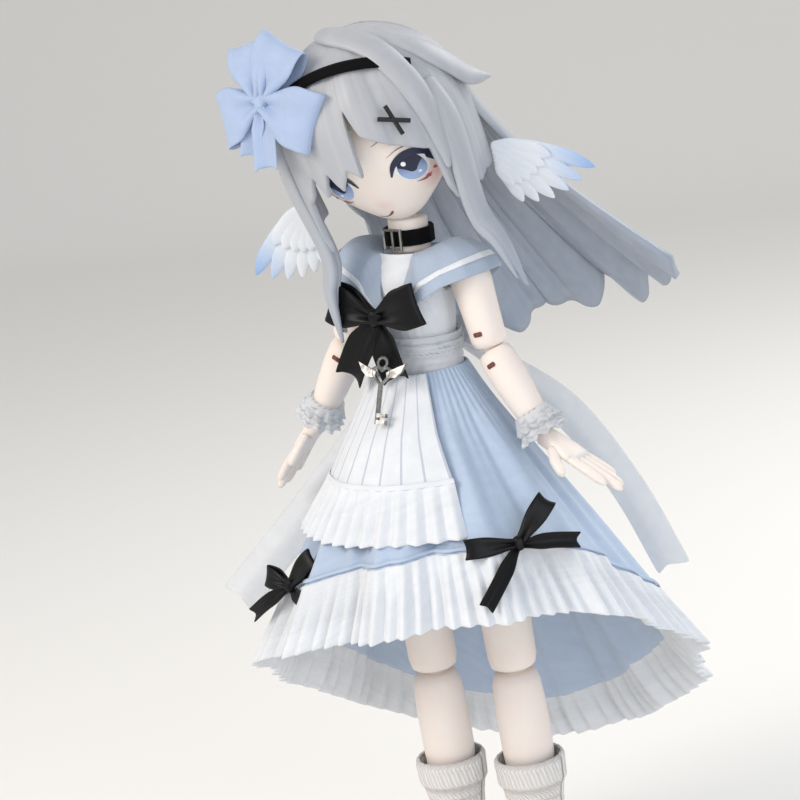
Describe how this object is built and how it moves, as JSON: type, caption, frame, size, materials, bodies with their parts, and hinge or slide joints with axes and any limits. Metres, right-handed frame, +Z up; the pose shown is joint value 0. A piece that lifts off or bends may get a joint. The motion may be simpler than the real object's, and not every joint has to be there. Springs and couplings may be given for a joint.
{
  "type": "ball jointed doll",
  "caption": "Small jointed doll with ball joints on pegs, double elbows and knees, moulded hair, feathered ear wings and a sewn dress.",
  "frame": {"origin": "on the floor under the middle of the doll's bounding box", "axes": "+Z up, the doll faces -Y and its left side is at +X"},
  "size_m": [0.0878, 0.0776, 0.1579],
  "materials": {
    "skin": "satin",
    "joint": "satin",
    "hair": "satin",
    "feather": "satin",
    "black": "satin",
    "blue_cloth": "woven",
    "white_cloth": "woven",
    "silver": "polished",
    "satin": "satin"
  },
  "bodies": {
    "pelvis": {"pelvis": "skin", "skirt": "blue_cloth", "skirt_ruffle": "white_cloth", "apron": "white_cloth", "apron_ruffle": "white_cloth", "hem_bow_left": "satin", "hem_bow_right": "satin"},
    "waist_ball": {"waist_ball": "joint"},
    "chest": {"chest": "skin", "bodice": "white_cloth", "sailor_collar": "blue_cloth", "chest_bow": "satin", "waist_sash": "white_cloth", "back_bow": "white_cloth"},
    "key_charm": {"key_charm": "silver"},
    "neck": {"neck": "skin", "choker": "black", "choker_buckle": "silver"},
    "head_ball": {"head_ball": "joint"},
    "head": {"head": "skin", "hair_front": "hair", "hair_back": "hair", "hair_band": "black", "hair_clip": "black", "hair_bow": "blue_cloth", "ear_wing_left": "feather", "ear_wing_right": "feather"},
    "left_shoulder_ball": {"left_shoulder_ball": "joint"},
    "left_upper_arm": {"left_upper_arm": "skin"},
    "left_elbow_link": {"left_elbow_link": "joint"},
    "left_forearm": {"left_forearm": "skin", "left_lace_cuff": "white_cloth"},
    "left_wrist_ball": {"left_wrist_ball": "joint"},
    "left_hand": {"left_hand": "skin"},
    "left_hip_ball": {"left_hip_ball": "joint"},
    "left_thigh": {"left_thigh": "skin"},
    "left_knee_link": {"left_knee_link": "joint"},
    "left_calf": {"left_calf": "skin", "left_sock": "white_cloth"},
    "left_ankle_ball": {"left_ankle_ball": "joint"},
    "left_foot": {"left_foot": "skin", "left_shoe": "black"},
    "right_shoulder_ball": {"right_shoulder_ball": "joint"},
    "right_upper_arm": {"right_upper_arm": "skin"},
    "right_elbow_link": {"right_elbow_link": "joint"},
    "right_forearm": {"right_forearm": "skin", "right_lace_cuff": "white_cloth"},
    "right_wrist_ball": {"right_wrist_ball": "joint"},
    "right_hand": {"right_hand": "skin"},
    "right_hip_ball": {"right_hip_ball": "joint"},
    "right_thigh": {"right_thigh": "skin"},
    "right_knee_link": {"right_knee_link": "joint"},
    "right_calf": {"right_calf": "skin", "right_sock": "white_cloth"},
    "right_ankle_ball": {"right_ankle_ball": "joint"},
    "right_foot": {"right_foot": "skin", "right_shoe": "black"}
  },
  "joints": [
    {"name": "waist_turn", "type": "hinge", "parent": "pelvis", "child": "waist_ball", "pos_m": [0.00485, -0.00389, 0.0995], "axis": [0, 0, 1], "range_deg": [-20, 20], "deforming": ["waist_sash", "back_bow"]},
    {"name": "waist_lean", "type": "hinge", "parent": "waist_ball", "child": "chest", "pos_m": [0.00485, -0.00389, 0.0995], "axis": [0.9879, -0.1388, -0.0698], "range_deg": [-6, 8]},
    {"name": "charm_swing", "type": "hinge", "parent": "chest", "child": "key_charm", "pos_m": [0.00361, -0.01472, 0.10349], "axis": [-0.9879, 0.1388, 0.0698], "range_deg": [0, 35]},
    {"name": "neck_tilt", "type": "hinge", "parent": "chest", "child": "neck", "pos_m": [0.00612, -0.00356, 0.11676], "axis": [0.1392, 0.9903, 0], "range_deg": [-8, 8]},
    {"name": "head_turn", "type": "hinge", "parent": "neck", "child": "head_ball", "pos_m": [0.00702, -0.00369, 0.12973], "axis": [0.0691, -0.0097, 0.9976], "range_deg": [-20, 12]},
    {"name": "head_nod", "type": "hinge", "parent": "head_ball", "child": "head", "pos_m": [0.00702, -0.00369, 0.12973], "axis": [0.97, 0.1665, 0.177], "range_deg": [-8, 2]},
    {"name": "left_shoulder_swing", "type": "hinge", "parent": "chest", "child": "left_shoulder_ball", "pos_m": [0.01709, -0.00561, 0.11568], "axis": [-0.9879, 0.1388, 0.0698], "range_deg": [-40, 60]},
    {"name": "left_arm_lower", "type": "hinge", "parent": "left_shoulder_ball", "child": "left_upper_arm", "pos_m": [0.01709, -0.00561, 0.11568], "axis": [0.1392, 0.9903, 0], "range_deg": [-50, 3]},
    {"name": "left_elbow_upper", "type": "hinge", "parent": "left_upper_arm", "child": "left_elbow_link", "pos_m": [0.01884, -0.00586, 0.10452], "axis": [-0.1392, -0.9903, 0], "range_deg": [-9, 36]},
    {"name": "left_elbow_lower", "type": "hinge", "parent": "left_elbow_link", "child": "left_forearm", "pos_m": [0.01988, -0.006, 0.10128], "axis": [-0.1392, -0.9903, 0], "range_deg": [-9, 36]},
    {"name": "left_wrist_turn", "type": "hinge", "parent": "left_forearm", "child": "left_wrist_ball", "pos_m": [0.02676, -0.00697, 0.08765], "axis": [-0.4496, 0.0632, 0.891], "range_deg": [-60, 60], "deforming": ["left_lace_cuff"]},
    {"name": "left_wrist_bend", "type": "hinge", "parent": "left_wrist_ball", "child": "left_hand", "pos_m": [0.02676, -0.00697, 0.08765], "axis": [-0.1392, -0.9903, 0], "range_deg": [-45, 10]},
    {"name": "left_hip_swing", "type": "hinge", "parent": "pelvis", "child": "left_hip_ball", "pos_m": [0.01235, -0.00389, 0.082], "axis": [-1, 0, 0], "range_deg": [-20, 85], "deforming": ["skirt", "skirt_ruffle", "apron", "apron_ruffle", "hem_bow_left", "hem_bow_right"]},
    {"name": "left_hip_spread", "type": "hinge", "parent": "left_hip_ball", "child": "left_thigh", "pos_m": [0.01235, -0.00389, 0.082], "axis": [0, -1, 0], "range_deg": [-1, 35]},
    {"name": "left_knee_upper", "type": "hinge", "parent": "left_thigh", "child": "left_knee_link", "pos_m": [0.01235, -0.00389, 0.0491], "axis": [1, 0, 0], "range_deg": [0, 45]},
    {"name": "left_knee_lower", "type": "hinge", "parent": "left_knee_link", "child": "left_calf", "pos_m": [0.01235, -0.00389, 0.0449], "axis": [1, 0, 0], "range_deg": [0, 45]},
    {"name": "left_ankle_turn", "type": "hinge", "parent": "left_calf", "child": "left_ankle_ball", "pos_m": [0.01235, -0.00389, 0.01], "axis": [0, 0, 1], "range_deg": [-25, 25]},
    {"name": "left_foot_nod", "type": "hinge", "parent": "left_ankle_ball", "child": "left_foot", "pos_m": [0.01235, -0.00389, 0.01], "axis": [-1, 0, 0], "range_deg": [-25, 9]},
    {"name": "right_shoulder_swing", "type": "hinge", "parent": "chest", "child": "right_shoulder_ball", "pos_m": [-0.00504, -0.0025, 0.11724], "axis": [-0.9879, 0.1388, 0.0698], "range_deg": [-25, 20]},
    {"name": "right_arm_lower", "type": "hinge", "parent": "right_shoulder_ball", "child": "right_upper_arm", "pos_m": [-0.00504, -0.0025, 0.11724], "axis": [-0.1392, -0.9903, 0], "range_deg": [-12, 3]},
    {"name": "right_elbow_upper", "type": "hinge", "parent": "right_upper_arm", "child": "right_elbow_link", "pos_m": [-0.00831, -0.00204, 0.10643], "axis": [0.1392, 0.9903, 0], "range_deg": [-9, 36]},
    {"name": "right_elbow_lower", "type": "hinge", "parent": "right_elbow_link", "child": "right_forearm", "pos_m": [-0.00978, -0.00183, 0.10338], "axis": [0.1392, 0.9903, 0], "range_deg": [-9, 36]},
    {"name": "right_wrist_turn", "type": "hinge", "parent": "right_forearm", "child": "right_wrist_ball", "pos_m": [-0.01847, -0.00061, 0.09084], "axis": [0.568, -0.0798, 0.8192], "range_deg": [-60, 60], "deforming": ["right_lace_cuff"]},
    {"name": "right_wrist_bend", "type": "hinge", "parent": "right_wrist_ball", "child": "right_hand", "pos_m": [-0.01847, -0.00061, 0.09084], "axis": [0.1392, 0.9903, 0], "range_deg": [-20, 30]},
    {"name": "right_hip_swing", "type": "hinge", "parent": "pelvis", "child": "right_hip_ball", "pos_m": [-0.00265, -0.00389, 0.082], "axis": [-1, 0, 0], "range_deg": [-20, 85]},
    {"name": "right_hip_spread", "type": "hinge", "parent": "right_hip_ball", "child": "right_thigh", "pos_m": [-0.00265, -0.00389, 0.082], "axis": [0, 1, 0], "range_deg": [-1, 35]},
    {"name": "right_knee_upper", "type": "hinge", "parent": "right_thigh", "child": "right_knee_link", "pos_m": [-0.00265, -0.00389, 0.0491], "axis": [1, 0, 0], "range_deg": [0, 45]},
    {"name": "right_knee_lower", "type": "hinge", "parent": "right_knee_link", "child": "right_calf", "pos_m": [-0.00265, -0.00389, 0.0449], "axis": [1, 0, 0], "range_deg": [0, 45]},
    {"name": "right_ankle_turn", "type": "hinge", "parent": "right_calf", "child": "right_ankle_ball", "pos_m": [-0.00265, -0.00389, 0.01], "axis": [0, 0, 1], "range_deg": [-25, 25]},
    {"name": "right_foot_nod", "type": "hinge", "parent": "right_ankle_ball", "child": "right_foot", "pos_m": [-0.00265, -0.00389, 0.01], "axis": [-1, 0, 0], "range_deg": [-25, 9]}
  ]
}
